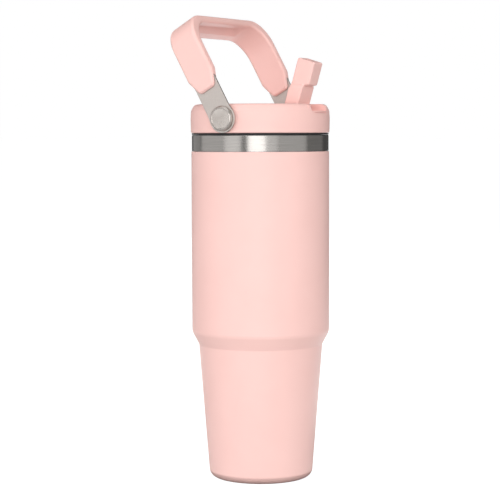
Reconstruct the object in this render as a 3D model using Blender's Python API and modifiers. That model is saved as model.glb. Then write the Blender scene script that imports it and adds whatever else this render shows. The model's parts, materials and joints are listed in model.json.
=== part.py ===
"""An insulated tumbler with a screw lid, a flip-up straw spout and a swinging carry handle.

Metres, +Z up. The origin is the middle of the base, on the surface that the tumbler stands
on. -Y is the front, where the spout is, and X is the axis that the handle swings about.
"""
import math

import bmesh
import bpy
from mathutils import Matrix, Vector

# ---- driving dimensions ----
GAP = 0.0003                    # clearance between neighbouring pieces
STEEL = 0.0006                  # thickness of the pressed steel walls

BODY_RADIUS = 0.0450            # coated upper body
COAT_TOP = 0.2143               # where the coat ends and the bare steel band starts
SHOULDER_TOP = 0.0965           # the upper body turns in below this height
SHOULDER_FOOT = 0.0879
SHOULDER_FOOT_RADIUS = 0.04056
FOOT_RADIUS = 0.03362           # the lower cone, carried down to the standing plane
FOOT_ROUND = 0.0054
BASE_RADIUS = 0.0262            # let-in base plate
BAND_RADIUS = 0.04465           # bare steel band round the mouth
MOUTH_TOP = 0.2250
MOUTH_RADIUS = 0.0413           # inside of the mouth
VACUUM = 0.0026                 # width of the evacuated gap between the walls
LINER_FLOOR = 0.0070

LID_RADIUS = 0.0454             # widest part of the lid's slightly barrelled side
LID_BOTTOM = 0.2262
LID_TOP = 0.2448
LID_WALL = 0.0024
FLANGE_TOP = 0.2289             # flange of the threaded plug, inside the lid's skirt
PLUG_RADIUS = 0.0396
PLUG_BOTTOM = 0.2060
THREAD_PITCH = 0.005
THREAD_TURNS = 1.5

TROUGH_HALF = 0.0095            # the trough that the folded spout lies in
TROUGH_FLOOR = 0.2316
TROUGH_FRONT = -0.0345
TROUGH_BACK = 0.0120
NOTCH_FLOOR = 0.2395            # the shallow notch through the front rim

SPOUT_AXIS = Vector((0, -0.0265, 0.2380))
SPOUT_LEAN = math.radians(16.5)
SPOUT_LENGTH = 0.0364
SPOUT_BACK = 0.0056             # also the radius of the hinge barrel
SPOUT_FRONT = 0.0070
SPOUT_STEM_FRONT = 0.0046
LIP_BOTTOM = 0.0213             # lower edge of the mouthpiece's front lip, from the hinge
SHOULDER = 0.0170               # where the stem starts to narrow to the mouthpiece
SPOUT_HALF = 0.0060             # half width of the mouthpiece
SPOUT_BASE_HALF = 0.0080        # half width of the stem
SPOUT_BORE = 0.0025
PIN_RADIUS = 0.0016
PORT_Y = -0.0255                # the straw stands under the spout's barrel
STRAW_RADIUS = 0.0036
STRAW_FOOT = 0.0120

PIVOT_HEIGHT = 0.2354           # handle axis
HANDLE_LEAN = math.radians(29.5)
STRAP_INSIDE = 0.0457           # distance of the strap's inner face from the middle
STRAP_THICK = 0.0015
STRAP_HALF = 0.0085
EYE_RADIUS = 0.0092
SCREW_RADIUS = 0.0025
CAP_RADIUS = 0.0080
HANDLE_TOP = 0.0704             # from the pivot to the top of the grip
GRIP_HALF = 0.0102
GRIP_INSIDE = 0.0434
GRIP_OUTSIDE = 0.0494
GRIP_UNDERSIDE = 0.0663         # from the pivot to the underside of the top bar
GRIP_CORNER = 0.0165
GRIP_WALL = 0.0019              # wall of the outer moulding over the arms
GRIP_ROOF = 0.0013              # and over the top bar
GRIP_END = 0.0205
GRIP_END_HALF = 0.0061
GRIP_CHAMFER_TOP = 0.0315
ARM_TOP = 0.0500                # the steel arms end inside the grip, below its corners
GROOVE_HALF = 0.0050            # the finger groove under the top bar
GROOVE_DEPTH = 0.0017
GROOVE_LENGTH = 0.052

PINK = (0.93, 0.62, 0.57)
PINK_INNER = (0.86, 0.52, 0.48)
BRUSHED = (0.55, 0.53, 0.51)
SILICONE = (0.05, 0.05, 0.05)
CLEAR = (0.85, 0.87, 0.88)
WHITE = (0.80, 0.80, 0.78)


# ---- modelling helpers ----
def clear_scene():
    for obj in list(bpy.data.objects):
        bpy.data.objects.remove(obj)


def collection(name):
    found = bpy.data.collections.new(name)
    bpy.context.scene.collection.children.link(found)
    return found


def material(name, colour, roughness, metallic=0.0):
    made = bpy.data.materials.new(name)
    made.use_nodes = True
    shader = made.node_tree.nodes["Principled BSDF"]
    shader.inputs["Base Color"].default_value = (*colour, 1)
    shader.inputs["Roughness"].default_value = roughness
    shader.inputs["Metallic"].default_value = metallic
    return made


def rounded(corners, steps=3):
    """Turn (x, y) or (x, y, radius) corners into points, with an arc at each given radius."""
    outline = []
    for index, corner in enumerate(corners):
        here = Vector(corner[:2])
        if len(corner) == 2:
            outline.append(here)
            continue
        radius = corner[2]
        back = (Vector(corners[index - 1][:2]) - here).normalized()
        ahead = (Vector(corners[(index + 1) % len(corners)][:2]) - here).normalized()
        half = back.angle(ahead) / 2
        centre = here + (back + ahead).normalized() * radius / math.sin(half)
        start = here + back * radius / math.tan(half) - centre
        finish = here + ahead * radius / math.tan(half) - centre
        sweep = math.atan2(start.cross(finish), start.dot(finish))
        for step in range(steps + 1):
            angle = math.atan2(start.y, start.x) + sweep * step / steps
            outline.append(centre + radius * Vector((math.cos(angle), math.sin(angle))))
    return outline


def arc(centre, radius, first, last, steps):
    """Points on an arc; the angles are in degrees from the outline's x axis."""
    angles = [math.radians(first + (last - first) * step / steps) for step in range(steps + 1)]
    return [(centre[0] + radius * math.cos(a), centre[1] + radius * math.sin(a)) for a in angles]


def add_object(name, data, home, look=None):
    obj = bpy.data.objects.new(name, data)
    home.objects.link(obj)
    if look:
        data.materials.append(look)
    return obj


def turned(name, corners, home, look=None, steps=40, closed=True, arc_steps=3):
    """A profile of (radius, height) corners, down its outer side, turned about Z."""
    outline = rounded(corners, arc_steps)
    count = len(outline)
    edges = [(i, (i + 1) % count) for i in range(count if closed else count - 1)]
    mesh = bpy.data.meshes.new(name)
    mesh.from_pydata([(x, 0, z) for x, z in outline], edges, [])
    obj = add_object(name, mesh, home, look)
    screw = obj.modifiers.new("turn", 'SCREW')
    screw.steps = steps
    screw.render_steps = steps
    screw.use_merge_vertices = True
    screw.merge_threshold = 0.00001
    return obj


def rod(name, radius, start, end, home, look=None, steps=24):
    """A solid cylinder along Z from start to end."""
    corners = [(0, end), (radius, end), (radius, start), (0, start)]
    return turned(name, corners, home, look, steps, closed=False)


def as_mesh(obj, home):
    """Replace a curve object by a mesh object with welded caps."""
    bpy.context.view_layer.update()
    evaluated = obj.evaluated_get(bpy.context.evaluated_depsgraph_get())
    mesh = bpy.data.meshes.new_from_object(evaluated)
    name, place, curve = obj.name, obj.matrix_world.copy(), obj.data
    bpy.data.objects.remove(obj)
    bpy.data.curves.remove(curve)
    work = bmesh.new()
    work.from_mesh(mesh)
    bmesh.ops.remove_doubles(work, verts=work.verts, dist=0.00001)
    work.to_mesh(mesh)
    work.free()
    made = bpy.data.objects.new(name, mesh)
    made.matrix_world = place
    home.objects.link(made)
    return made


def extruded(name, outline, half, home, look=None):
    """A flat outline in the object's XY plane, drawn out by half each way along its Z."""
    curve = bpy.data.curves.new(name, 'CURVE')
    curve.dimensions = '2D'
    curve.fill_mode = 'BOTH'
    curve.extrude = half
    spline = curve.splines.new('POLY')
    spline.points.add(len(outline) - 1)
    for point, (x, y) in zip(spline.points, outline):
        point.co = (x, y, 0, 1)
    spline.use_cyclic_u = True
    return as_mesh(add_object(name, curve, home, look), home)


def helix(name, radius, bead, bottom, home):
    """A thread ridge: a thin tube wound round Z, sunk in the wall at its radius."""
    per_turn = 32
    curve = bpy.data.curves.new(name, 'CURVE')
    curve.dimensions = '3D'
    curve.bevel_depth = bead
    curve.bevel_resolution = 1
    curve.use_fill_caps = True
    spline = curve.splines.new('POLY')
    count = int(per_turn * THREAD_TURNS) + 1
    spline.points.add(count - 1)
    for index, point in enumerate(spline.points):
        angle = 2 * math.pi * index / per_turn
        height = bottom + THREAD_PITCH * index / per_turn
        point.co = (radius * math.cos(angle), radius * math.sin(angle), height, 1)
    return as_mesh(add_object(name, curve, home), home)


def box(name, low, high, home):
    """A cube primitive stretched between two corners, with its scale applied."""
    low, high = Vector(low), Vector(high)
    work = bmesh.new()
    bmesh.ops.create_cube(work, size=1)
    size = high - low
    bmesh.ops.scale(work, vec=size, verts=work.verts)
    bmesh.ops.translate(work, vec=(low + high) / 2, verts=work.verts)
    mesh = bpy.data.meshes.new(name)
    work.to_mesh(mesh)
    work.free()
    return add_object(name, mesh, home)


def combine(target, tool, operation):
    """Cut, join or intersect target with tool, which stays hidden in the cutters."""
    tool.hide_render = True
    tool.display_type = 'WIRE'
    boolean = target.modifiers.new(tool.name, 'BOOLEAN')
    boolean.operation = operation
    boolean.object = tool
    boolean.solver = 'EXACT'


def along_x(obj, place=(0, 0, 0), side=1):
    """Lay a piece that was turned about Z along X, pointing to +X or -X."""
    turn = Matrix.Rotation(side * math.radians(90), 4, 'Y')
    obj.matrix_world = Matrix.Translation(place) @ turn
    return obj


# ---- the vessel ----
def outer_shell(parts, look):
    """The coated outer wall: a straight upper body, a shoulder and a cone to the foot."""
    inset = STEEL
    corners = [
        (BODY_RADIUS, COAT_TOP), (BODY_RADIUS, SHOULDER_TOP, 0.006),
        (SHOULDER_FOOT_RADIUS, SHOULDER_FOOT, 0.0012), (FOOT_RADIUS, 0, FOOT_ROUND),
        (BASE_RADIUS + GAP, 0), (BASE_RADIUS + GAP, inset),
        (FOOT_RADIUS - inset, inset, FOOT_ROUND - inset),
        (SHOULDER_FOOT_RADIUS - inset, SHOULDER_FOOT, 0.0012 + inset),
        (BODY_RADIUS - inset, SHOULDER_TOP, 0.006 - inset), (BODY_RADIUS - inset, COAT_TOP),
    ]
    return turned("outer_shell", corners, parts, look)


def neck_ring(parts, look):
    """The bare steel band with the lip that carries the liner."""
    bottom = COAT_TOP + GAP
    inner = BAND_RADIUS - STEEL
    corners = [
        (MOUTH_RADIUS, MOUTH_TOP), (BAND_RADIUS, MOUTH_TOP, 0.0007), (BAND_RADIUS, bottom),
        (inner, bottom), (inner, MOUTH_TOP - STEEL), (MOUTH_RADIUS, MOUTH_TOP - STEEL),
    ]
    return turned("neck_ring", corners, parts, look)


def inner_liner(parts, cutters, look):
    """The inner wall, one vacuum gap inside the outer one, with a thread in its mouth."""
    inset = STEEL + VACUUM
    top = MOUTH_TOP - STEEL - GAP
    wall = MOUTH_RADIUS + STEEL
    corners = [
        (wall, top), (wall, SHOULDER_TOP + inset, 0.006),
        (SHOULDER_FOOT_RADIUS - inset, SHOULDER_FOOT + inset / 2, 0.003),
        (FOOT_RADIUS - inset, LINER_FLOOR - STEEL, 0.006 + STEEL),
        (0, LINER_FLOOR - STEEL), (0, LINER_FLOOR),
        (FOOT_RADIUS - inset - STEEL, LINER_FLOOR, 0.006),
        (SHOULDER_FOOT_RADIUS - inset - STEEL, SHOULDER_FOOT + inset / 2, 0.003 + STEEL),
        (MOUTH_RADIUS, SHOULDER_TOP + inset, 0.006 - STEEL), (MOUTH_RADIUS, top),
    ]
    start = corners[4:] + corners[:4]
    liner = turned("inner_liner", start[1:] + start[:1], parts, look, closed=False)
    ridge = helix("liner_thread", MOUTH_RADIUS + 0.0001, 0.0006, 0.2105, cutters)
    combine(liner, ridge, 'UNION')
    return liner


def base_plate(parts, look):
    """The let-in base: a flat pad in the middle and a shallow groove round it."""
    groove = 0.0006
    thick = 0.0012
    corners = [
        (0, thick), (0.017, thick), (0.0175, thick + groove), (0.0235, thick + groove),
        (0.024, thick), (BASE_RADIUS, thick), (BASE_RADIUS, 0), (0.0238, 0),
        (0.0233, groove), (0.0185, groove), (0.018, 0), (0, 0),
    ]
    return turned("base_plate", corners, parts, look, closed=False)


def getter(parts, look):
    """The small getter disc that stays in the evacuated gap."""
    return rod("getter_disc", 0.0080, 0.0015, 0.0042, parts, look)


# ---- the lid ----
def cover_blank(parts, look):
    """The lid's barrelled cap, hollow from below, before its trough and bosses."""
    inner = LID_RADIUS - LID_WALL
    ledge = FLANGE_TOP + GAP
    skirt = LID_RADIUS - 0.0016
    corners = [
        (0, LID_TOP), (0.0436, LID_TOP, 0.0028), (0.0452, 0.2412, 0.0022),
        (LID_RADIUS, 0.2356), (0.0452, LID_BOTTOM, 0.0010), (skirt, LID_BOTTOM),
        (skirt, ledge), (inner, ledge), (inner, LID_TOP - LID_WALL, 0.002),
        (0, LID_TOP - LID_WALL),
    ]
    return turned("lid_cover", corners, parts, look, steps=48, closed=False, arc_steps=4)


def trough_outline():
    front = (TROUGH_FRONT, 0.002)
    back = (TROUGH_BACK, 0.004)
    corners = []
    for side, (reach, radius) in ((-1, front), (1, front), (1, back), (-1, back)):
        corners.append((side * TROUGH_HALF, reach, radius))
    return rounded(corners, 4)


def lid_cover(parts, cutters, look):
    cover = cover_blank(parts, look)
    wall = 0.0022
    under = FLANGE_TOP + GAP
    housing = box("trough_housing", (-TROUGH_HALF - wall, -0.0432, under),
                  (TROUGH_HALF + wall, TROUGH_BACK + wall, LID_TOP - 0.0012), cutters)
    combine(cover, housing, 'UNION')
    for side in (-1, 1):
        boss = along_x(rod("boss", 0.0060, 0.0360, 0.0435, cutters), (0, 0, PIVOT_HEIGHT), side)
        combine(cover, boss, 'UNION')
    trough = extruded("trough", trough_outline(), 0.010, cutters)
    trough.location.z = TROUGH_FLOOR + 0.010
    combine(cover, trough, 'DIFFERENCE')
    notch = box("front_notch", (-TROUGH_HALF, -0.0480, NOTCH_FLOOR),
                (TROUGH_HALF, TROUGH_FRONT + 0.004, LID_TOP + 0.001), cutters)
    combine(cover, notch, 'DIFFERENCE')
    seat = rod("seat_hole", 0.0058, under - 0.001, TROUGH_FLOOR + 0.001, cutters)
    seat.location.y = PORT_Y
    combine(cover, seat, 'DIFFERENCE')
    pins = along_x(rod("pin_hole", PIN_RADIUS + GAP, -0.0111, 0.0111, cutters), SPOUT_AXIS)
    combine(cover, pins, 'DIFFERENCE')
    for side in (-1, 1):
        hole = turned("pivot_hole", [(0, 0.0470), (0.0058, 0.0470), (0.0058, 0.0442),
                                     (SCREW_RADIUS + GAP, 0.0442), (SCREW_RADIUS + GAP, 0.0340),
                                     (0, 0.0340)], cutters, steps=24, closed=False)
        combine(cover, along_x(hole, (0, 0, PIVOT_HEIGHT), side), 'DIFFERENCE')
    return cover


def lid_plug(parts, cutters, look):
    """The threaded cup that closes the lid from below and screws into the mouth."""
    inner = PLUG_RADIUS - 0.0022
    flange = LID_RADIUS - 0.0016 - GAP
    floor = PLUG_BOTTOM + 0.0022
    corners = [
        (inner, FLANGE_TOP), (flange, FLANGE_TOP), (flange, FLANGE_TOP - 0.0020),
        (PLUG_RADIUS, FLANGE_TOP - 0.0020), (PLUG_RADIUS, PLUG_BOTTOM, 0.0015),
        (0, PLUG_BOTTOM), (0, floor), (inner, floor),
    ]
    start = corners[6:] + corners[:6]
    plug = turned("lid_plug", start, parts, look, closed=False)
    ridge = helix("plug_thread", PLUG_RADIUS + 0.0001, 0.0006, 0.2125, cutters)
    combine(plug, ridge, 'UNION')
    for y, radius in ((PORT_Y, 0.0060), (0.020, 0.0025)):
        hole = rod("plug_hole", radius, PLUG_BOTTOM - 0.001, floor + 0.001, cutters)
        hole.location.y = y
        combine(plug, hole, 'DIFFERENCE')
    return plug


def lid_seal(parts, look):
    bottom = MOUTH_TOP + GAP
    top = FLANGE_TOP - 0.0020 - GAP
    corners = [(0.0411, top), (0.0434, top), (0.0434, bottom), (0.0411, bottom)]
    return turned("lid_seal", corners, parts, look)


def spout_port(parts, looks):
    """The parts of the drinking line that the lid carries, and the vent beside it."""
    seat_bottom = FLANGE_TOP + 2 * GAP
    seat = turned("spout_seat", [(0.0026, 0.2320), (0.0055, 0.2320), (0.0055, seat_bottom),
                                 (0.0026, seat_bottom)], parts, looks["silicone"], steps=24)
    seat.location.y = PORT_Y
    inner = STRAW_RADIUS + GAP
    plate = PLUG_BOTTOM - GAP
    socket = turned("straw_socket", [
        (inner, FLANGE_TOP), (0.0057, FLANGE_TOP), (0.0057, plate - 0.0018), (0.0050, 0.1980),
        (inner, 0.1980)], parts, looks["insert"], steps=24)
    socket.location.y = PORT_Y
    ring = turned("socket_ring", [(0.0060, plate), (0.0078, plate), (0.0078, plate - 0.0016),
                                  (0.0060, plate - 0.0016)], parts, looks["silicone"], steps=24)
    ring.location.y = PORT_Y
    straw = turned("straw", [
        (STRAW_RADIUS - 0.0007, 0.2240), (STRAW_RADIUS, 0.2240), (STRAW_RADIUS, STRAW_FOOT),
        (STRAW_RADIUS - 0.0007, STRAW_FOOT)], parts, looks["clear"], steps=24)
    straw.location.y = PORT_Y
    valve = turned("vent_valve", [
        (0, 0.2106), (0.0016, 0.2106), (0.0022, 0.2096), (0.0022, plate), (0.0050, plate),
        (0.0044, plate - 0.0013), (0, plate - 0.0018)], parts, looks["silicone"], steps=24,
        closed=False)
    valve.location.y = 0.020


# ---- the spout ----
def spout_outline():
    """Side view: x is forward and y is up along the spout, with the hinge at the origin."""
    join = math.degrees(math.asin(math.sqrt(1 - (SPOUT_STEM_FRONT / SPOUT_BACK) ** 2)))
    upper = rounded([
        (-SPOUT_BACK, 0), (-SPOUT_BACK, SPOUT_LENGTH, 0.0020),
        (SPOUT_FRONT, SPOUT_LENGTH, 0.0010), (SPOUT_FRONT, LIP_BOTTOM, 0.0005),
        (SPOUT_STEM_FRONT, LIP_BOTTOM - 0.0024, 0.0005), (SPOUT_STEM_FRONT, 0.0060),
    ])
    barrel = arc((0, 0), SPOUT_BACK, join, -180, 14)
    return [tuple(point) for point in upper] + barrel[:-1]


def spout(parts, cutters, look, hinge):
    body = extruded("spout", spout_outline(), SPOUT_BASE_HALF, parts, look)
    body.rotation_euler = (math.radians(90), 0, math.radians(-90))
    body.parent = hinge
    for side in (-1, 1):
        narrowing = SPOUT_BASE_HALF - SPOUT_HALF
        beyond = SPOUT_LENGTH + 0.002
        outline = [(side * x, y) for x, y in (
            (SPOUT_HALF, SHOULDER + narrowing), (SPOUT_HALF, beyond),
            (SPOUT_BASE_HALF + narrowing, beyond),
            (SPOUT_BASE_HALF + narrowing, SHOULDER - narrowing))]
        flank = extruded("spout_flank", outline, 0.012, cutters)
        flank.rotation_euler = (math.radians(90), 0, 0)
        flank.parent = hinge
        combine(body, flank, 'DIFFERENCE')
    bore = rod("spout_bore", SPOUT_BORE, -0.0100, 0.0400, cutters, steps=16)
    bore.parent = hinge
    combine(body, bore, 'DIFFERENCE')
    for side in (-1, 1):
        hole = along_x(rod("spout_pin_hole", PIN_RADIUS + GAP, 0.0062, 0.0100, cutters), side=side)
        hole.parent = hinge
        combine(body, hole, 'DIFFERENCE')


def spout_pins(parts, look):
    for side, name in ((-1, "spout_pin_left"), (1, "spout_pin_right")):
        along_x(rod(name, PIN_RADIUS, 0.0065, 0.0108, parts, look), SPOUT_AXIS, side)


# ---- the handle ----
def band(name, outer, inner, half, home, look=None):
    """An upright U-shaped band, foot to foot over the top, half wide each way along Y.

    outer and inner are each (distance from the middle, height of the top, corner radius).
    """
    foot = -0.015
    (outside, top, corner), (inside, under, bend) = outer, inner
    corners = [
        (-outside, foot), (-outside, top, corner), (outside, top, corner), (outside, foot),
        (inside, foot), (inside, under, bend), (-inside, under, bend), (-inside, foot),
    ]
    made = extruded(name, rounded(corners, 6), half, home, look)
    made.rotation_euler = (math.radians(90), 0, 0)
    return made


def grip_shell():
    """The outer face and the inner face of the whole grip, for band()."""
    outer = (GRIP_OUTSIDE, HANDLE_TOP, GRIP_CORNER)
    inner = (GRIP_INSIDE, GRIP_UNDERSIDE, GRIP_CORNER)
    return outer, inner


def parting(depth):
    """A face between the two grip mouldings, depth below the inside of the outer one."""
    side = GRIP_OUTSIDE - GRIP_WALL - depth
    return side, HANDLE_TOP - GRIP_ROOF - depth, GRIP_CORNER - GRIP_WALL - depth


def trim(target, outline, cutters, hinge, name):
    """Keep only what lies inside a side-view outline of (width, height) points."""
    keep = extruded(name, outline, 0.060, cutters)
    keep.rotation_euler = (math.radians(90), 0, math.radians(90))
    keep.parent = hinge
    combine(target, keep, 'INTERSECT')


def grip_outline(half, end, end_half):
    top = HANDLE_TOP + 0.005
    chamfer = GRIP_CHAMFER_TOP
    return rounded([
        (-end_half, end, 0.0012), (end_half, end, 0.0012), (half, chamfer, 0.004), (half, top),
        (-half, top), (-half, chamfer, 0.004)], 2)


def handle_arms(parts, cutters, look, hinge):
    """The two flat steel arms, each with a round eye at its pivot."""
    meet = math.degrees(math.acos(STRAP_HALF / EYE_RADIUS))
    eye = arc((0, 0), EYE_RADIUS, meet, -180 - meet, 18)
    outline = rounded(eye + [(-STRAP_HALF, ARM_TOP, 0.002), (STRAP_HALF, ARM_TOP, 0.002)])
    hole = along_x(rod("eye_hole", SCREW_RADIUS + GAP, -0.060, 0.060, cutters))
    hole.parent = hinge
    for side, name in ((-1, "handle_arm_left"), (1, "handle_arm_right")):
        arm = extruded(name, outline, STRAP_THICK / 2, parts, look)
        arm.location.x = side * (STRAP_INSIDE + STRAP_THICK / 2)
        arm.rotation_euler = (math.radians(90), 0, math.radians(90))
        arm.parent = hinge
        combine(arm, hole, 'DIFFERENCE')


def grip_outer(parts, cutters, look, hinge):
    """The outer grip moulding: a channel that the arms and the inner moulding lie in."""
    outer, inner = grip_shell()
    grip = band("grip_outer", outer, inner, 0.012, parts, look)
    grip.parent = hinge
    trim(grip, grip_outline(GRIP_HALF, GRIP_END, GRIP_END_HALF), cutters, hinge, "grip_outline")
    below = (GRIP_INSIDE - 0.010, GRIP_UNDERSIDE - 0.010, GRIP_CORNER)
    channel = band("grip_channel", parting(0), below, STRAP_HALF + GAP, cutters)
    channel.parent = hinge
    combine(grip, channel, 'DIFFERENCE')


def grip_inner(parts, cutters, look, hinge):
    """The inner grip moulding, with a pocket for each arm and a groove under the top bar."""
    inner = grip_shell()[1]
    grip = band("grip_inner", parting(GAP), inner, 0.012, parts, look)
    grip.parent = hinge
    trim(grip, grip_outline(STRAP_HALF, GRIP_END + 0.0015, GRIP_END_HALF - 0.001), cutters,
         hinge, "grip_inner_outline")
    reach = STRAP_HALF + 0.001
    for side in (-1, 1):
        near, far = sorted((side * (STRAP_INSIDE - GAP), side * (GRIP_OUTSIDE + 0.001)))
        pocket = box("arm_pocket", (near, -reach, 0), (far, reach, ARM_TOP + GAP), cutters)
        pocket.parent = hinge
        combine(grip, pocket, 'DIFFERENCE')
    face = GRIP_UNDERSIDE
    slope = 0.0008
    outline = [(-GROOVE_HALF - slope, face - slope), (-GROOVE_HALF + slope, face + GROOVE_DEPTH),
               (GROOVE_HALF - slope, face + GROOVE_DEPTH), (GROOVE_HALF + slope, face - slope)]
    groove = extruded("finger_groove", outline, GROOVE_LENGTH / 2, cutters)
    groove.rotation_euler = (math.radians(90), 0, math.radians(90))
    groove.parent = hinge
    combine(grip, groove, 'DIFFERENCE')


def pivots(parts, looks):
    """A screw, a washer and a domed cap on each side of the lid."""
    strap = STRAP_INSIDE + STRAP_THICK
    seat = strap + GAP
    head = seat + 0.0008
    screw = [(0, head), (0.0046, head), (0.0046, seat), (SCREW_RADIUS, seat),
             (SCREW_RADIUS, 0.0370), (0, 0.0370)]
    washer = [(SCREW_RADIUS + GAP, 0.0454), (0.0055, 0.0454), (0.0055, 0.0445),
              (SCREW_RADIUS + GAP, 0.0445)]
    crown = head + GAP + 0.0010
    cap = [(0, crown), (0.0062, crown), (0.0076, crown - 0.0004), (CAP_RADIUS, crown - 0.0010),
           (CAP_RADIUS, seat), (0.0049, seat), (0.0049, head + GAP), (0, head + GAP)]
    for side, name in ((-1, "left"), (1, "right")):
        place = (0, 0, PIVOT_HEIGHT)
        along_x(turned("pivot_screw_" + name, screw, parts, looks["screw"], 24, False),
                place, side)
        along_x(turned("pivot_washer_" + name, washer, parts, looks["insert"], 24), place,
                side)
        along_x(turned("pivot_cap_" + name, cap, parts, looks["cap"], 32, False), place,
                side)


def hinge_empty(name, place, lean, home):
    empty = bpy.data.objects.new(name, None)
    empty.location = place
    empty.rotation_euler = (lean, 0, 0)
    home.objects.link(empty)
    return empty


def build():
    clear_scene()
    parts = collection("insulated_tumbler")
    cutters = collection("cutters")
    looks = {
        "coat": material("pink_coat", PINK, 0.35),
        "lid": material("pink_plastic", PINK, 0.42),
        "grip": material("pink_grip", PINK_INNER, 0.45),
        "steel": material("brushed_steel", BRUSHED, 0.30, 1.0),
        "strap": material("matt_steel", BRUSHED, 0.45, 1.0),
        "cap": material("spun_steel", BRUSHED, 0.28, 1.0),
        "screw": material("screw_steel", BRUSHED, 0.35, 1.0),
        "insert": material("white_insert", WHITE, 0.45),
        "silicone": material("dark_silicone", SILICONE, 0.60),
        "clear": material("clear_straw", CLEAR, 0.20),
    }
    outer_shell(parts, looks["coat"])
    neck_ring(parts, looks["steel"])
    inner_liner(parts, cutters, looks["steel"])
    base_plate(parts, looks["steel"])
    getter(parts, looks["screw"])
    lid_cover(parts, cutters, looks["lid"])
    lid_plug(parts, cutters, looks["insert"])
    lid_seal(parts, looks["silicone"])
    spout_port(parts, looks)
    spout_hinge = hinge_empty("spout_hinge", SPOUT_AXIS, SPOUT_LEAN, parts)
    spout(parts, cutters, looks["lid"], spout_hinge)
    spout_pins(parts, looks["screw"])
    handle_hinge = hinge_empty("handle_hinge", (0, 0, PIVOT_HEIGHT), -HANDLE_LEAN, parts)
    handle_arms(parts, cutters, looks["strap"], handle_hinge)
    grip_outer(parts, cutters, looks["grip"], handle_hinge)
    grip_inner(parts, cutters, looks["grip"], handle_hinge)
    pivots(parts, looks)


build()
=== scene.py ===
"""A pink insulated tumbler: coated steel vessel, bare steel band, screw lid with a flip-up
straw spout, and a swinging carry handle with steel arms. Metres, +Z up, -Y is the front."""
import json
import math

import bmesh
import bpy
from mathutils import Matrix, Vector


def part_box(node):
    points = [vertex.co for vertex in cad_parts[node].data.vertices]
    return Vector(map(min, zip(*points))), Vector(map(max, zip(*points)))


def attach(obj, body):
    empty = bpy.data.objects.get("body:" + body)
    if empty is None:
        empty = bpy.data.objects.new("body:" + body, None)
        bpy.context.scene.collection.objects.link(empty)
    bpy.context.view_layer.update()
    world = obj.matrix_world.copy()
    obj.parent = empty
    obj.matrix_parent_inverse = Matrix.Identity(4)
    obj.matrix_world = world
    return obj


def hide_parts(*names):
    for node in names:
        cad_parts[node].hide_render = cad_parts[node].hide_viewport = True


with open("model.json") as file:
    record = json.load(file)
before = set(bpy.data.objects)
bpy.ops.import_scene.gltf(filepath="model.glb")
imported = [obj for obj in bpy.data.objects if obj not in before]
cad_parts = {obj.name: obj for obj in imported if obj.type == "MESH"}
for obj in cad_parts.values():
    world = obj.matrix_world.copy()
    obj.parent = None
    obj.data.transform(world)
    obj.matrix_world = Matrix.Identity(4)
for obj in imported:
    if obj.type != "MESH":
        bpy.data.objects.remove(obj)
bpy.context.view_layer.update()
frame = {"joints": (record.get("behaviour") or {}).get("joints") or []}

# ---- sizes taken from the frame ----
ORIGINS = {joint["name"]: Vector(joint["pos_m"]) for joint in frame["joints"] if "pos_m" in joint}
SPOUT_AXIS = ORIGINS["spout_flip"]
PIVOT = ORIGINS["handle_swing"]
BODY_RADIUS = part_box("outer_shell")[1].x
COAT_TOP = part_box("outer_shell")[1].z
BAND_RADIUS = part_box("neck_ring")[1].x
BAND_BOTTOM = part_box("neck_ring")[0].z
MOUTH_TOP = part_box("neck_ring")[1].z
LID_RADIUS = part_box("lid_cover")[1].y
LID_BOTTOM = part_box("lid_cover")[0].z
LID_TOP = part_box("lid_cover")[1].z
PLUG_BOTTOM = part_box("lid_plug")[0].z
FLANGE_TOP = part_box("lid_plug")[1].z
STRAW_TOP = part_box("straw")[1].z
STRAW_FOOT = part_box("straw")[0].z
CAP_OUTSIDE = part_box("pivot_cap_right")[1].x
CAP_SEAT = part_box("pivot_cap_right")[0].x
ARM_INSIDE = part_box("handle_arm_right")[0].x
ARM_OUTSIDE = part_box("handle_arm_right")[1].x
GRIP_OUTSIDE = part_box("grip_outer")[1].x

# ---- sizes of the maker's own ----
GAP = 0.0003            # clearance between parts that only meet
STEEL = 0.0006          # sheet of the vessel
MOUTH = 0.0413          # bore of the mouth
SHOULDER = 0.0965       # where the straight body ends
CONE_TOP = 0.0879       # where the tapered foot begins
CONE_RADIUS = 0.04056
FOOT_RADIUS = 0.03362
LID_WALL = 0.0024
SKIRT = LID_RADIUS - 0.0016
TROUGH_HALF = 0.0095    # the spout's trough in the lid
TROUGH_FLOOR = 0.2316
TROUGH_FRONT = -0.0345
TROUGH_BACK = 0.0120
NOTCH_FLOOR = 0.2402
PORT_Y = -0.0255        # the straw's port, under the spout's barrel
VENT_Y = 0.0200
PIN_BORE = 0.0019
SPOUT_LEAN = math.radians(16.5)
SPOUT_LENGTH = 0.0364
HANDLE_LEAN = math.radians(29.5)
HANDLE_TOP = 0.0713     # these heights are above the pivot, along the arms
GRIP_HALF = 0.0102
GRIP_INSIDE = 0.0434
GRIP_UNDERSIDE = 0.0663
GRIP_CORNER = 0.0165
STRAP_HALF = 0.0085
ARM_TOP = 0.0500

TINY = 0.000001         # closer points are one point
WELD = 0.000005         # the same, after a cut
FLAT = 0.4              # degrees: faces this close in angle are one flat face
CREASE = 38             # degrees: sharper edges are shaded as edges
QUARTER = math.radians(90)
FULL = 4 * QUARTER
TURNS = 180             # steps round the vessel
LID_TURNS = 144         # steps round the lid and what sits in it
SMALL_TURNS = 96        # steps round a pivot's parts
ARC = 6                 # steps in a rounded corner


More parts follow.
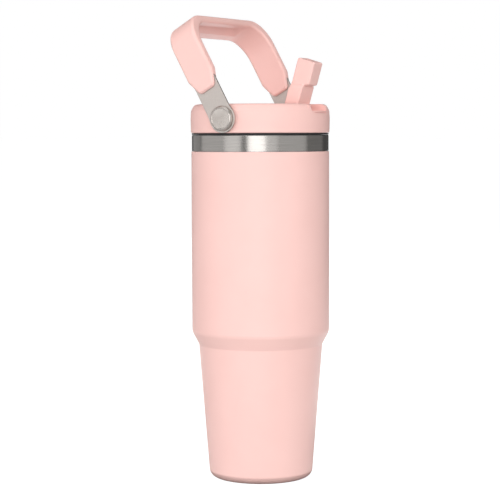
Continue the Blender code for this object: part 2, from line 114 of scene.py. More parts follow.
# ---- shaping ----
def outline(corners, arc=ARC):
    """A flat face in the XZ plane from (x, z) or (x, z, radius) corners."""
    bm = bmesh.new()
    verts = [bm.verts.new((corner[0], 0, corner[1])) for corner in corners]
    bm.faces.new(verts)
    for vert, corner in zip(verts, corners):
        if len(corner) > 2:
            sides = [edge.other_vert(vert).co - vert.co for edge in vert.link_edges]
            reach = corner[2] / math.tan(sides[0].angle(sides[1]) / 2)
            bmesh.ops.bevel(bm, geom=[vert], offset=reach, offset_type='OFFSET', segments=arc,
                            profile=0.5, affect='VERTICES', material=-1)
    return bm


def turned(corners, steps=TURNS, arc=ARC):
    """A closed outline of (radius, height) corners turned about Z."""
    bm = outline(corners, arc)
    bmesh.ops.delete(bm, geom=bm.faces[:], context='FACES_ONLY')
    middle = [e for e in bm.edges if max(abs(v.co.x) for v in e.verts) < TINY]
    bmesh.ops.delete(bm, geom=middle, context='EDGES')
    bmesh.ops.spin(bm, geom=bm.verts[:] + bm.edges[:], cent=(0, 0, 0), axis=(0, 0, 1),
                   dvec=(0, 0, 0), angle=FULL, steps=steps, use_merge=True)
    return tidied(bm)


def tidied(bm):
    bmesh.ops.remove_doubles(bm, verts=bm.verts[:], dist=TINY)
    bmesh.ops.recalc_face_normals(bm, faces=bm.faces[:])
    return bm


def moved(bm, vec):
    bmesh.ops.translate(bm, vec=Vector(vec), verts=bm.verts[:])
    return bm


def rotated(bm, angle, axis):
    turn = Matrix.Rotation(angle, 3, axis)
    bmesh.ops.rotate(bm, cent=(0, 0, 0), matrix=turn, verts=bm.verts[:])
    return bm


def slab(corners, half, facing='Y', arc=ARC):
    """An outline drawn out by half each way along X or Y. Facing X, its first number is y."""
    bm = outline(corners, arc)
    if facing == 'X':
        rotated(bm, QUARTER, 'Z')
    way = Vector((1, 0, 0)) if facing == 'X' else Vector((0, 1, 0))
    moved(bm, -half * way)
    grown = bmesh.ops.extrude_face_region(bm, geom=bm.faces[:])["geom"]
    fresh = [item for item in grown if isinstance(item, bmesh.types.BMVert)]
    bmesh.ops.translate(bm, vec=2 * half * way, verts=fresh)
    return tidied(bm)


def block(low, high):
    bm = bmesh.new()
    bmesh.ops.create_cube(bm, size=1)
    bmesh.ops.scale(bm, vec=Vector(high) - Vector(low), verts=bm.verts[:])
    return moved(bm, (Vector(low) + Vector(high)) / 2)


def along_x(bm, side=1, place=(0, 0, 0)):
    """Lay a shape that was turned about Z along X, pointing to +X or -X."""
    rotated(bm, side * QUARTER, 'Y')
    return moved(bm, place)


def rod(radius, start, end, steps=48):
    return turned([(0, end), (radius, end), (radius, start), (0, start)], steps)


def sharp_edges(bm, limit=35):
    least = math.radians(limit)
    return [e for e in bm.edges if e.is_manifold and e.calc_face_angle() > least]


def soften(bm, size, steps=3, limit=35, chosen=None):
    """Round the sharp edges, or those of them that chosen picks."""
    edges = [e for e in sharp_edges(bm, limit) if chosen is None or chosen(e)]
    bmesh.ops.bevel(bm, geom=edges, offset=size, offset_type='OFFSET', segments=steps,
                    profile=0.5, affect='EDGES', material=-1, clamp_overlap=False)
    return tidied(bm)


def joined(bm, other):
    """Add another closed shell to bm."""
    mesh = bpy.data.meshes.new("shell")
    other.to_mesh(mesh)
    bm.from_mesh(mesh)
    other.free()
    bpy.data.meshes.remove(mesh)
    return bm


def stand_in(bm, name):
    mesh = bpy.data.meshes.new(name)
    bm.to_mesh(mesh)
    bm.free()
    obj = bpy.data.objects.new(name, mesh)
    bpy.context.scene.collection.objects.link(obj)
    return obj


def combined(bm, tools, flats=False):
    """Run (shape, operation) pairs on bm; flats asks for whole flat faces, ready to soften."""
    for tool, operation in tools:
        target, helper = stand_in(bm, "blank"), stand_in(tool, "cutter")
        boolean = target.modifiers.new("cut", 'BOOLEAN')
        boolean.operation = operation
        boolean.object = helper
        boolean.solver = 'EXACT'
        evaluated = target.evaluated_get(bpy.context.evaluated_depsgraph_get())
        bm = bmesh.new()
        bm.from_mesh(evaluated.to_mesh())
        evaluated.to_mesh_clear()
        for obj in (helper, target):
            mesh = obj.data
            bpy.data.objects.remove(obj)
            bpy.data.meshes.remove(mesh)
        bmesh.ops.remove_doubles(bm, verts=bm.verts[:], dist=WELD)
    if flats:
        bmesh.ops.dissolve_limit(bm, angle_limit=math.radians(FLAT), verts=bm.verts[:],
                                 edges=bm.edges[:])
    return bm


def piece(name, bm, look, body, slot, *nodes):
    """Make bm a finished piece that rides on a body and stands for its CAD nodes."""
    for face in bm.faces:
        face.smooth = True
    for edge in sharp_edges(bm, CREASE):
        edge.smooth = False
    mesh = bpy.data.meshes.new(name)
    bm.to_mesh(mesh)
    bm.free()
    mesh.materials.append(look)
    obj = bpy.data.objects.new(name, mesh)
    bpy.context.scene.collection.objects.link(obj)
    even = obj.modifiers.new("even_shading", 'WEIGHTED_NORMAL')
    even.keep_sharp = True
    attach(obj, body)
    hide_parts(*nodes)
    return obj


# ---- materials ----
def node(tree, kind, **settings):
    made = tree.nodes.new(kind)
    for key, value in settings.items():
        if key in made.inputs.keys():
            made.inputs[key].default_value = value
        else:
            setattr(made, key, value)
    return made


def grain(tree, scale, stretch=(1, 1, 1), detail=2.0):
    """Noise in object metres, stretched along an axis."""
    coordinates = node(tree, "ShaderNodeTexCoord")
    mapping = node(tree, "ShaderNodeMapping")
    mapping.inputs["Scale"].default_value = stretch
    noise = node(tree, "ShaderNodeTexNoise", Scale=scale, Detail=detail)
    tree.links.new(coordinates.outputs["Object"], mapping.inputs["Vector"])
    tree.links.new(mapping.outputs["Vector"], noise.inputs["Vector"])
    return noise.outputs["Fac"]


def spread(tree, source, low, high):
    """Map a noise value onto a range."""
    ranged = node(tree, "ShaderNodeMapRange")
    ranged.inputs["From Min"].default_value = 0.3
    ranged.inputs["From Max"].default_value = 0.7
    ranged.inputs["To Min"].default_value = low
    ranged.inputs["To Max"].default_value = high
    tree.links.new(source, ranged.inputs["Value"])
    return ranged.outputs["Result"]


def tinted(tree, source, dark, light):
    ramp = node(tree, "ShaderNodeValToRGB")
    ramp.color_ramp.elements[0].position = 0.3
    ramp.color_ramp.elements[1].position = 0.7
    ramp.color_ramp.elements[0].color = (*dark, 1)
    ramp.color_ramp.elements[1].color = (*light, 1)
    tree.links.new(source, ramp.inputs["Fac"])
    return ramp.outputs["Color"]


def raised(tree, shader, height, strength, distance):
    bump = node(tree, "ShaderNodeBump", Strength=strength, Distance=distance)
    tree.links.new(height, bump.inputs["Height"])
    tree.links.new(bump.outputs["Normal"], shader.inputs["Normal"])


def finish_of(name, dark, light, rough, tint, texture, depth, **constants):
    """A finish: a tint between two colours, a roughness range and a fine relief.

    tint and texture are (scale, stretch) of their noise; depth is the relief in metres."""
    made = bpy.data.materials.new(name)
    made.use_nodes = True
    tree = made.node_tree
    shader = tree.nodes["Principled BSDF"]
    colour = tinted(tree, grain(tree, *tint), dark, light)
    fine = grain(tree, *texture)
    tree.links.new(colour, shader.inputs["Base Color"])
    tree.links.new(spread(tree, fine, *rough), shader.inputs["Roughness"])
    raised(tree, shader, fine, 1.0, depth)
    shader.inputs["Specular IOR Level"].default_value = 0.35
    for key, value in constants.items():
        shader.inputs[key.replace("_", " ")].default_value = value
    return made


EVEN = (1, 1, 1)
ROUND_Z = (0.02, 0.02, 1)       # brushed round the vertical axis
LOOKS = {
    "coat": finish_of("pink_powder_coat", (0.918, 0.588, 0.542), (0.935, 0.606, 0.560),
                      (0.40, 0.50), (40, EVEN), (1400, EVEN), 0.000010),
    "lid": finish_of("pink_moulded_lid", (0.915, 0.576, 0.529), (0.932, 0.594, 0.547),
                     (0.42, 0.54), (60, EVEN), (2600, EVEN), 0.000008),
    "grip": finish_of("pink_moulded_grip", (0.915, 0.570, 0.522), (0.932, 0.588, 0.540),
                      (0.34, 0.44), (60, EVEN), (2600, EVEN), 0.000006,
                      Specular_IOR_Level=0.5),
    "band": finish_of("brushed_band", (0.39, 0.370, 0.352), (0.44, 0.42, 0.40),
                      (0.18, 0.23), (2600, ROUND_Z), (4200, ROUND_Z), 0.0000025, Metallic=1.0),
    "arm": finish_of("bead_blasted_arm", (0.61, 0.555, 0.52), (0.67, 0.61, 0.57),
                     (0.40, 0.50), (1900, EVEN), (3200, EVEN), 0.000012, Metallic=1.0),
    "cap": finish_of("spun_cap", (0.54, 0.49, 0.455), (0.66, 0.61, 0.57),
                     (0.24, 0.34), (2400, (1, 0.05, 0.05)), (3000, (1, 0.1, 0.1)), 0.000004,
                     Metallic=1.0),
    "screw": finish_of("turned_steel", (0.48, 0.47, 0.45), (0.60, 0.59, 0.57),
                       (0.28, 0.40), (2000, (1, 0.1, 0.1)), (3000, (1, 0.1, 0.1)), 0.000005,
                       Metallic=1.0),
    "insert": finish_of("white_moulding", (0.80, 0.79, 0.765), (0.85, 0.84, 0.82),
                        (0.38, 0.50), (80, EVEN), (2600, EVEN), 0.000008),
    "silicone": finish_of("dark_silicone_rubber", (0.022, 0.022, 0.023), (0.034, 0.034, 0.035),
                          (0.52, 0.66), (90, EVEN), (2200, EVEN), 0.000010),
    "straw": finish_of("clear_tube", (0.86, 0.89, 0.90), (0.90, 0.93, 0.94),
                       (0.12, 0.20), (50, EVEN), (900, (1, 1, 0.05)), 0.000006, IOR=1.49),
}
LOOKS["straw"].node_tree.nodes["Principled BSDF"].inputs["Transmission Weight"].default_value = 0.85


# ---- the vessel ----
def coat():
    opening_below = 0.0265
    inside = BODY_RADIUS - STEEL
    corners = [
        (inside, COAT_TOP), (BODY_RADIUS, COAT_TOP, 0.0003), (BODY_RADIUS, SHOULDER, 0.006),
        (CONE_RADIUS, CONE_TOP, 0.0012), (FOOT_RADIUS, 0, 0.0054), (opening_below, 0, 0.0002),
        (opening_below, STEEL), (FOOT_RADIUS - STEEL, STEEL, 0.0048),
        (CONE_RADIUS - STEEL, CONE_TOP, 0.0018), (inside, SHOULDER, 0.0054),
    ]
    piece("coated_shell", turned(corners, arc=10), LOOKS["coat"], "vessel", "pink_coat",
          "outer_shell")


def mouth_band():
    inner = BAND_RADIUS - STEEL
    corners = [
        (MOUTH, MOUTH_TOP, 0.0003), (BAND_RADIUS, MOUTH_TOP, 0.0007), (BAND_RADIUS, BAND_BOTTOM),
        (inner, BAND_BOTTOM), (inner, MOUTH_TOP - STEEL), (MOUTH, MOUTH_TOP - STEEL),
    ]
    piece("bare_band", turned(corners), LOOKS["band"], "vessel", "brushed_steel", "neck_ring")


BEAD = 0.0006           # radius of a thread's ridge


def thread(radius, bead, bottom, pitch=0.005, turns=1.5):
    """A helical ridge of round section, with closed ends."""
    steps = int(96 * turns)
    bm = bmesh.new()
    bmesh.ops.create_circle(bm, cap_ends=True, radius=bead, segments=12)
    rotated(bm, QUARTER, 'X')
    moved(bm, (radius, 0, bottom))
    rise = (0, 0, pitch * turns / steps)
    bmesh.ops.spin(bm, geom=bm.faces[:] + bm.edges[:] + bm.verts[:], cent=(0, 0, 0),
                   axis=(0, 0, 1), dvec=rise, angle=FULL * turns, steps=steps,
                   use_duplicate=False)
    return tidied(bm)


def liner():
    inset = STEEL + 0.0026          # the outer wall and the evacuated gap
    top, floor, shoulder = MOUTH_TOP - STEEL - GAP, 0.0070, SHOULDER + inset
    wall = MOUTH + STEEL
    narrow, foot, low = CONE_RADIUS - inset, FOOT_RADIUS - inset, CONE_TOP + inset / 2
    corners = [
        (0, floor), (foot - STEEL, floor, 0.006), (narrow - STEEL, low, 0.0036),
        (MOUTH, shoulder, 0.0054), (MOUTH, top), (wall, top), (wall, shoulder, 0.006),
        (narrow, low, 0.003), (foot, floor - STEEL, 0.0066), (0, floor - STEEL),
    ]
    bm = turned(corners, arc=8)
    joined(bm, thread(MOUTH + 0.0001, BEAD, 0.2105))
    piece("steel_liner", bm, LOOKS["band"], "vessel", "brushed_steel", "inner_liner")


def base():
    thick, groove, edge = 0.0012, 0.0006, 0.0262
    corners = [
        (0, thick), (0.0170, thick), (0.0175, thick + groove, 0.0003),
        (0.0235, thick + groove, 0.0003), (0.0240, thick), (edge, thick), (edge, 0, 0.0003),
        (0.0238, 0, 0.0003), (0.0233, groove, 0.0004), (0.0185, groove, 0.0004),
        (0.0180, 0, 0.0003), (0, 0),
    ]
    piece("let_in_base", turned(corners), LOOKS["band"], "vessel", "brushed_steel", "base_plate")
    disc = turned([(0, 0.0042), (0.0080, 0.0042, 0.0004), (0.0080, 0.0015, 0.0004), (0, 0.0015)],
                  64)
    piece("getter_pill", disc, LOOKS["screw"], "vessel", "screw_steel", "getter_disc")


# ---- the lid ----
def trough_corners():
    return [(-TROUGH_HALF, TROUGH_FRONT, 0.0020), (TROUGH_HALF, TROUGH_FRONT, 0.0020),
            (TROUGH_HALF, TROUGH_BACK, 0.0040), (-TROUGH_HALF, TROUGH_BACK, 0.0040)]


def upright(corners, low, high):
    """An outline of (x, y) corners drawn up from low to high."""
    bm = slab(corners, (high - low) / 2)
    rotated(bm, QUARTER, 'X')
    bmesh.ops.scale(bm, vec=(1, -1, 1), verts=bm.verts[:])
    bmesh.ops.reverse_faces(bm, faces=bm.faces[:])
    return moved(bm, (0, 0, (low + high) / 2))


def lid_blank():
    inner = LID_RADIUS - LID_WALL
    ledge = FLANGE_TOP + GAP
    corners = [
        (0, LID_TOP), (0.0430, LID_TOP, 0.0032), (0.0451, 0.2405, 0.0028),
        (LID_RADIUS, 0.2356, 0.02), (0.0452, LID_BOTTOM, 0.0010), (SKIRT, LID_BOTTOM),
        (SKIRT, ledge), (inner, ledge), (inner, LID_TOP - LID_WALL, 0.002),
        (0, LID_TOP - LID_WALL),
    ]
    return turned(corners, LID_TURNS)


def opening():
    """The cutter for the slot and its notch, flared where it meets the lid's top."""
    rise, meet = LID_TOP + 0.003, LID_TOP + 0.00001
    half, back = TROUGH_HALF + 0.00006, TROUGH_BACK + 0.00006
    slot = upright([(-half, -0.055), (half, -0.055), (half, back, 0.004), (-half, back, 0.004)],
                   NOTCH_FLOOR, rise)
    cover = block((-0.020, -0.057, meet), (0.020, 0.020, rise + 0.001))
    bm = combined(slot, [(cover, 'UNION')], flats=True)

    def mouth(edge):
        level = max(abs(vert.co.z - meet) for vert in edge.verts) < TINY
        middle = (edge.verts[0].co + edge.verts[1].co) / 2
        return level and abs(middle.x) < 0.0190 and -0.0569 < middle.y < 0.0190

    return soften(bm, 0.0007, 4, 40, mouth)


def lid():
    under = FLANGE_TOP + GAP
    wall = 0.0022
    tools = [(block((-TROUGH_HALF - wall, -0.0432, under),
                    (TROUGH_HALF + wall, TROUGH_BACK + wall, LID_TOP - 0.0012)), 'UNION')]
    for side in (-1, 1):
        tools.append((along_x(rod(0.0060, 0.0360, 0.0435), side, (0, 0, PIVOT.z)), 'UNION'))
    tools.append((upright(trough_corners(), TROUGH_FLOOR, NOTCH_FLOOR + 0.001), 'DIFFERENCE'))
    tools.append((opening(), 'DIFFERENCE'))
    finger_line = block((-0.0082, -0.050, NOTCH_FLOOR - 0.0013),
                        (0.0082, -0.0440, NOTCH_FLOOR - 0.0007))
    tools.append((finger_line, 'DIFFERENCE'))
    seat = moved(rod(0.0058, under - 0.001, TROUGH_FLOOR + 0.001), (0, PORT_Y, 0))
    tools.append((seat, 'DIFFERENCE'))
    tools.append((along_x(rod(PIN_BORE, -0.0111, 0.0111), 1, SPOUT_AXIS), 'DIFFERENCE'))
    for side in (-1, 1):
        hole = turned([(0, 0.0470), (0.0058, 0.0470), (0.0058, 0.0442), (0.0028, 0.0442),
                       (0.0028, 0.0340), (0, 0.0340)], 48)
        tools.append((along_x(hole, side, (0, 0, PIVOT.z)), 'DIFFERENCE'))
    piece("lid_shell", combined(lid_blank(), tools), LOOKS["lid"], "lid", "pink_plastic",
          "lid_cover")


def plug():
    radius, inner, floor = 0.0396, 0.0374, PLUG_BOTTOM + 0.0022
    flange = SKIRT - GAP
    corners = [
        (0, floor), (inner, floor, 0.001), (inner, FLANGE_TOP), (flange, FLANGE_TOP, 0.0003),
        (flange, FLANGE_TOP - 0.0020, 0.0003), (radius, FLANGE_TOP - 0.0020, 0.0004),
        (radius, PLUG_BOTTOM, 0.0015), (0, PLUG_BOTTOM),
    ]
    tools = []
    for y, size in ((PORT_Y, 0.0060), (VENT_Y, 0.0025)):
        hole = moved(rod(size, PLUG_BOTTOM - 0.001, floor + 0.001), (0, y, 0))
        tools.append((hole, 'DIFFERENCE'))
    bm = combined(turned(corners, LID_TURNS), tools)
    joined(bm, thread(radius + 0.0001, BEAD, 0.2125))
    piece("threaded_plug", bm, LOOKS["insert"], "lid", "white_insert", "lid_plug")


def ring(inner, outer, bottom, top, rounding, steps=64, y=0.0):
    corners = [(inner, top, rounding), (outer, top, rounding), (outer, bottom, rounding),
               (inner, bottom, rounding)]
    return moved(turned(corners, steps, 4), (0, y, 0))


def seals_and_straw():
    plate = PLUG_BOTTOM - GAP
    # The seal is a real part, but its outer lip is brought out to the band's face so its near-black
    # silicone paints the shadow in the gap under the lid as a dark line.
    lip, clear = 0.0447, 0.0001
    seal = turned([
        (0.0411, FLANGE_TOP - 0.0023, 0.0004), (0.0434, FLANGE_TOP - 0.0023, 0.0002),
        (0.0434, LID_BOTTOM - clear), (lip, LID_BOTTOM - clear, 0.0003),
        (lip, MOUTH_TOP + clear, 0.0003), (0.0411, MOUTH_TOP + clear, 0.0004)], LID_TURNS, 4)
    piece("seal_ring", seal, LOOKS["silicone"], "lid_carrier", "dark_silicone", "lid_seal")
    seat = ring(0.0026, 0.0055, FLANGE_TOP + 2 * GAP, 0.2320, 0.0004, y=PORT_Y)
    piece("port_seat", seat, LOOKS["silicone"], "lid", "dark_silicone", "spout_seat")
    socket = turned([(0.0039, FLANGE_TOP), (0.0057, FLANGE_TOP), (0.0057, plate - 0.0018, 0.0004),
                     (0.0050, 0.1980, 0.0004), (0.0039, 0.1980)], 64)
    piece("straw_holder", moved(socket, (0, PORT_Y, 0)), LOOKS["insert"], "lid", "white_insert",
          "straw_socket")
    collar = ring(0.0060, 0.0078, plate - 0.0016, plate, 0.0004, y=PORT_Y)
    piece("holder_ring", collar, LOOKS["silicone"], "lid", "dark_silicone", "socket_ring")
    tube = ring(0.0029, 0.0036, STRAW_FOOT, STRAW_TOP, 0.0002, y=PORT_Y)
    piece("straw_tube", tube, LOOKS["straw"], "lid", "clear_straw", "straw")
    valve = turned([
        (0, 0.2106), (0.0016, 0.2106, 0.0003), (0.0022, 0.2096, 0.0002), (0.0022, plate),
        (0.0050, plate, 0.0003), (0.0044, plate - 0.0013, 0.0004), (0, plate - 0.0018)], 48)
    piece("vent_plug", moved(valve, (0, VENT_Y, 0)), LOOKS["silicone"], "lid", "dark_silicone",
          "vent_valve")


# ---- the spout ----
def spout():
    """A narrow mouthpiece with a front lip, on a wider foot with level sloping shoulders."""
    back, front, stem = 0.0056, 0.0072, 0.0041
    lip, waist = 0.0213, 0.0186
    half, wide = 0.0060, 0.0080
    rear, fore, neck = back + 0.0001, stem + 0.0001, half - 0.0004
    side = [
        (back, 0), (back, SPOUT_LENGTH), (-front, SPOUT_LENGTH), (-front, lip),
        (-stem, lip - 0.0010), (-stem, 0),
    ]
    foot = [
        (rear, waist), (back - 0.0008, waist + 0.0050), (-stem + 0.0008, waist + 0.0050),
        (-fore, waist + 0.0020), (-fore, -0.0056, 0.0040), (rear, -0.0056, 0.0054),
    ]
    shoulders = [
        (-wide, -0.020), (-wide, waist - 0.0012), (-neck, waist + 0.0012), (-neck, 0.040),
        (neck, 0.040), (neck, waist + 0.0012), (wide, waist - 0.0012), (wide, -0.020),
    ]

    def outside(edge):
        return abs(edge.verts[0].co.x + edge.verts[1].co.x) / 2 > half + 0.0002

    limits = rotated(slab(shoulders, 0.025), -SPOUT_LEAN, 'X')
    base = combined(slab(foot, 0.012, 'X'), [(limits, 'INTERSECT')], flats=True)
    holes = [(along_x(rod(PIN_BORE, 0.0062, 0.0100), flank), 'DIFFERENCE') for flank in (-1, 1)]
    base = combined(soften(base, 0.0010, 4, 25, outside), holes)
    mouthpiece = soften(slab(side, half, 'X'), 0.0013, 5, 40)
    bore = rod(0.0025, -0.0100, 0.0400)
    bm = combined(mouthpiece, [(base, 'UNION'), (bore, 'DIFFERENCE')])
    rotated(bm, SPOUT_LEAN, 'X')
    piece("flip_spout", moved(bm, SPOUT_AXIS), LOOKS["lid"], "spout", "pink_plastic", "spout")


def spout_pins():
    for side, name in ((-1, "left"), (1, "right")):
        pin = turned([(0, 0.0108), (0.0016, 0.0108, 0.0003), (0.0016, 0.0065, 0.0003),
                      (0, 0.0065)], 32)
        piece("hinge_pin_" + name, along_x(pin, side, SPOUT_AXIS), LOOKS["screw"], "lid",
              "screw_steel", "spout_pin_" + name)


# ---- the handle ----
def bow(outer, inner, half):
    """An upright U, foot to foot over the top; each face is (reach, top, corner radius)."""
    foot = -0.015
    (outside, top, corner), (inside, under, bend) = outer, inner
    return slab([
        (-outside, foot), (-outside, top, corner), (outside, top, corner), (outside, foot),
        (inside, foot), (inside, under, bend), (-inside, under, bend), (-inside, foot),
    ], half, arc=16)


def grip_sides():
    """The side view of the grip: straight flanks and chamfered lower ends."""
    end, end_half, top, chamfer = 0.0205, 0.0061, HANDLE_TOP + 0.005, 0.0315
    return slab([
        (-end_half, end, 0.0032), (end_half, end, 0.0032), (GRIP_HALF, chamfer, 0.0055),
        (GRIP_HALF, top), (-GRIP_HALF, top), (-GRIP_HALF, chamfer, 0.0055),
    ], 0.060, 'X', 8)


def parting(depth):
    wall, roof = 0.0019, 0.0013
    side = GRIP_OUTSIDE - wall - depth
    return side, HANDLE_TOP - roof - depth, GRIP_CORNER - wall - depth


def on_handle(bm):
    rotated(bm, -HANDLE_LEAN, 'X')
    return moved(bm, PIVOT)


def above_inner_face(edge):
    """How far an edge of the grip lies outside the rounded inner face of its bow."""
    middle = (edge.verts[0].co + edge.verts[1].co) / 2
    across = abs(middle.x) - (GRIP_INSIDE - GRIP_CORNER)
    up = middle.z - (GRIP_UNDERSIDE - GRIP_CORNER)
    return math.hypot(max(across, 0), max(up, 0)) + min(max(across, up), 0) - GRIP_CORNER


def grip_body():
    outer = (GRIP_OUTSIDE, HANDLE_TOP, GRIP_CORNER + 0.0013)
    inner = (GRIP_INSIDE, GRIP_UNDERSIDE, GRIP_CORNER)
    bm = combined(bow(outer, inner, 0.012), [(grip_sides(), 'INTERSECT')], flats=True)
    soften(bm, 0.0021, 5, 30, lambda edge: above_inner_face(edge) > 0.0030)
    return soften(bm, 0.0018, 4, 60, lambda edge: above_inner_face(edge) < 0.0004)


def handle_grip():
    seam = 0.00004
    deep = (GRIP_INSIDE - 0.010, GRIP_UNDERSIDE - 0.010, GRIP_CORNER)
    lining = STRAP_HALF + GAP / 2
    channel = bow(parting(0), deep, lining)
    piece("grip_channel", on_handle(combined(grip_body(), [(channel, 'DIFFERENCE')])),
          LOOKS["grip"], "handle", "pink_grip", "grip_outer")

    tools = [(bow(parting(seam), deep, lining - seam), 'INTERSECT')]
    reach = STRAP_HALF + 0.001
    for side in (-1, 1):
        near, far = sorted((side * (ARM_INSIDE - GAP), side * (GRIP_OUTSIDE + 0.001)))
        tools.append((block((near, -reach, 0), (far, reach, ARM_TOP + GAP)), 'DIFFERENCE'))
    tools.append((finger_groove(), 'DIFFERENCE'))
    piece("grip_pad", on_handle(combined(grip_body(), tools)), LOOKS["grip"], "handle",
          "pink_grip", "grip_inner")


def finger_groove():
    """A channel under the top bar, steep in front and sloping behind, run out at its ends."""
    face, depth = GRIP_UNDERSIDE, 0.0028
    length = [
        (-0.0350, face - 0.0040), (-0.0230, face + depth, 0.010), (0.0230, face + depth, 0.010),
        (0.0350, face - 0.0040),
    ]
    section = [
        (-0.0068, face - 0.0001), (-0.0062, face + 0.0001, 0.0008), (-0.0054, face + depth, 0.0010),
        (-0.0014, face + depth, 0.0020), (0.0040, face + 0.0001, 0.0020),
        (0.0068, face - 0.0001), (0.0068, face - 0.0060), (-0.0068, face - 0.0060),
    ]
    return combined(slab(length, 0.009), [(slab(section, 0.036, 'X'), 'INTERSECT')])


def arms():
    eye, half = 0.0092, STRAP_HALF
    for side, name in ((-1, "left"), (1, "right")):
        strap = slab([
            (-eye, -eye, eye), (eye, -eye, eye), (eye, 0.0010, 0.010), (half, 0.0055, 0.010),
            (half, ARM_TOP, 0.002), (-half, ARM_TOP, 0.002), (-half, 0.0055, 0.010),
            (-eye, 0.0010, 0.010),
        ], (ARM_OUTSIDE - ARM_INSIDE) / 2, 'X', 12)
        bm = combined(strap, [(along_x(rod(0.0028, -0.01, 0.01)), 'DIFFERENCE')], flats=True)
        soften(bm, 0.00035, 3, 60)
        moved(bm, (side * (ARM_INSIDE + ARM_OUTSIDE) / 2, 0, 0))
        piece("steel_arm_" + name, on_handle(bm), LOOKS["arm"], "handle", "matt_steel",
              "handle_arm_" + name)


def pivots():
    head = CAP_SEAT + 0.0008
    crown = CAP_OUTSIDE
    screw = [(0, head), (0.0046, head, 0.0003), (0.0046, CAP_SEAT), (0.0025, CAP_SEAT),
             (0.0025, 0.0370, 0.0004), (0, 0.0370)]
    washer = [(0.0028, 0.0454), (0.0055, 0.0454, 0.0002), (0.0055, 0.0445, 0.0002),
              (0.0028, 0.0445)]
    cap = [(0, crown - 0.0003), (0.0063, crown - 0.0003, 0.0003), (0.0065, crown, 0.0002),
           (0.0070, crown, 0.0006), (0.0079, crown - 0.0010, 0.0006), (0.0080, CAP_SEAT, 0.0002),
           (0.0049, CAP_SEAT), (0.0049, head + GAP), (0, head + GAP)]
    for side, name in ((-1, "left"), (1, "right")):
        for title, corners, look, slot, prefix in (
                ("screw_", screw, "screw", "screw_steel", "pivot_screw_"),
                ("washer_", washer, "insert", "white_insert", "pivot_washer_"),
                ("cap_", cap, "cap", "matt_steel", "pivot_cap_")):
            bm = along_x(turned(corners, SMALL_TURNS), side, (0, 0, PIVOT.z))
            piece(title + name, bm, LOOKS[look], "lid", slot, prefix + name)


# ---- stage, light and camera ----
EYE = Vector((-0.9622, -0.5701, 0.2268))
LENS = 122.9
HEADING, DOWN, ROLL = -59, 3.951, -0.178    # degrees
LEFT_TO_RIGHT = Vector((0.515, -0.857, 0))
TOWARDS = Vector((-0.857, -0.515, 0))


def plain(name, colour, glow=0.0):
    made = bpy.data.materials.new(name)
    made.use_nodes = True
    shader = made.node_tree.nodes["Principled BSDF"]
    shader.inputs["Base Color"].default_value = (*colour, 1)
    shader.inputs["Roughness"].default_value = 0.9
    if glow:
        shader.inputs["Emission Color"].default_value = (1, 1, 1, 1)
        shader.inputs["Emission Strength"].default_value = glow
    return made


def stage():
    bm = bmesh.new()
    bmesh.ops.create_grid(bm, x_segments=1, y_segments=1, size=40)
    floor = stand_in(bm, "floor")
    floor.data.materials.append(plain("pale_floor", (0.50, 0.50, 0.50), 0.95))
    floor.visible_glossy = False
    floor.visible_diffuse = False
    bm = bmesh.new()
    bmesh.ops.create_uvsphere(bm, u_segments=48, v_segments=24, radius=60)
    dome = stand_in(bm, "backdrop")
    dome.data.materials.append(plain("pale_backdrop", (0.0, 0.0, 0.0), 1.0))
    for switch in ("visible_diffuse", "visible_glossy", "visible_transmission",
                   "visible_shadow", "visible_volume_scatter"):
        setattr(dome, switch, False)


def panel(name, angle, distance, height, width, tall, power):
    """A soft light; angle is measured round the object from the camera, to the right."""
    middle = Vector((0, 0, 0.13))
    data = bpy.data.lights.new(name, 'AREA')
    data.shape = 'RECTANGLE'
    data.size = width
    data.size_y = tall
    data.energy = power
    lamp = bpy.data.objects.new(name, data)
    bpy.context.scene.collection.objects.link(lamp)
    turn = math.radians(angle)
    place = distance * (math.cos(turn) * TOWARDS + math.sin(turn) * LEFT_TO_RIGHT)
    place.z = height
    lamp.location = place
    lamp.rotation_euler = (middle - place).to_track_quat('-Z', 'Y').to_euler()
    return lamp


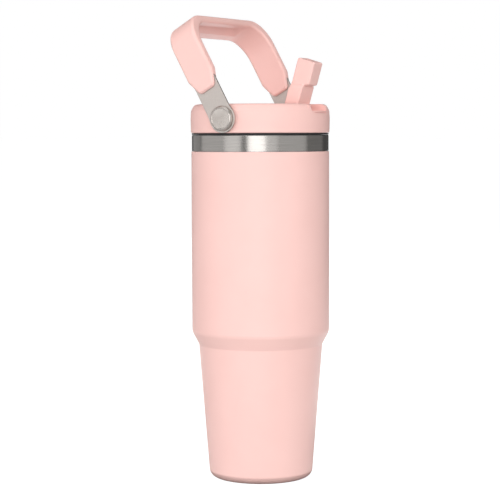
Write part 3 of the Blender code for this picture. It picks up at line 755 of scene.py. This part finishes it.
# name, angle, distance, height, width, tall, power
PANELS = [
    ("key", -6, 1.7, 0.45, 0.92, 1.6, 12.0), ("left_near", -47, 1.5, 0.50, 0.87, 1.6, 5.2),
    ("left_far", -90, 1.5, 0.50, 1.50, 1.6, 5.2), ("left_back", -136, 1.5, 0.40, 0.9, 1.6, 1.5),
    ("right_near", 20, 1.6, 0.50, 0.56, 1.6, 2.8), ("right_panel", 57, 1.6, 0.50, 1.63, 1.6, 5.2),
    ("right_back", 107, 1.6, 0.40, 1.2, 1.6, 1.1), ("overhead", 0, 0.3, 1.8, 1.6, 1.6, 7.5),
]
FROM_BELOW = [
    ("bounce", 0, 0.55, 0.004, 1.3, 1.3, 2.3), ("sheen", 172, 0.6, 0.006, 0.8, 0.8, 3.8),
]
# name, angle, power; these brighten without a reflection
FILLS = [("fill", 0, 3.8), ("left_fill", -58, 10.5), ("right_fill", 50, 13), ("back_fill", 180, 3.5)]


def lights():
    world = bpy.data.worlds.new("soft_room")
    world.use_nodes = True
    background = world.node_tree.nodes["Background"]
    background.inputs["Color"].default_value = (1, 1, 1, 1)
    background.inputs["Strength"].default_value = 0.10
    bpy.context.scene.world = world
    for settings in PANELS:
        panel(*settings)
    for settings in FROM_BELOW:
        lamp = panel(*settings)
        lamp.rotation_euler = (math.pi, 0, 0)
        lamp.visible_camera = False
        lamp.visible_diffuse = lamp.name != "sheen"
    for name, angle, power in FILLS:
        panel(name, angle, 2.2, 0.95, 2.0, 2.2, power).visible_glossy = False


def camera():
    data = bpy.data.cameras.new("camera")
    data.lens = LENS
    data.sensor_width = 36
    data.clip_start = 0.01
    data.dof.use_dof = False
    eye = bpy.data.objects.new("camera", data)
    bpy.context.scene.collection.objects.link(eye)
    eye.location = EYE
    heading = Matrix.Rotation(math.radians(HEADING), 4, 'Z')
    tilt = Matrix.Rotation(math.radians(90 - DOWN), 4, 'X')
    roll = Matrix.Rotation(math.radians(ROLL), 4, 'Z')
    eye.rotation_euler = (heading @ tilt @ roll).to_euler()
    bpy.context.scene.camera = eye


coat()
mouth_band()
liner()
base()
lid()
plug()
seals_and_straw()
spout()
spout_pins()
handle_grip()
arms()
pivots()
stage()
lights()
camera()
bpy.context.scene.view_settings.view_transform = 'Standard'
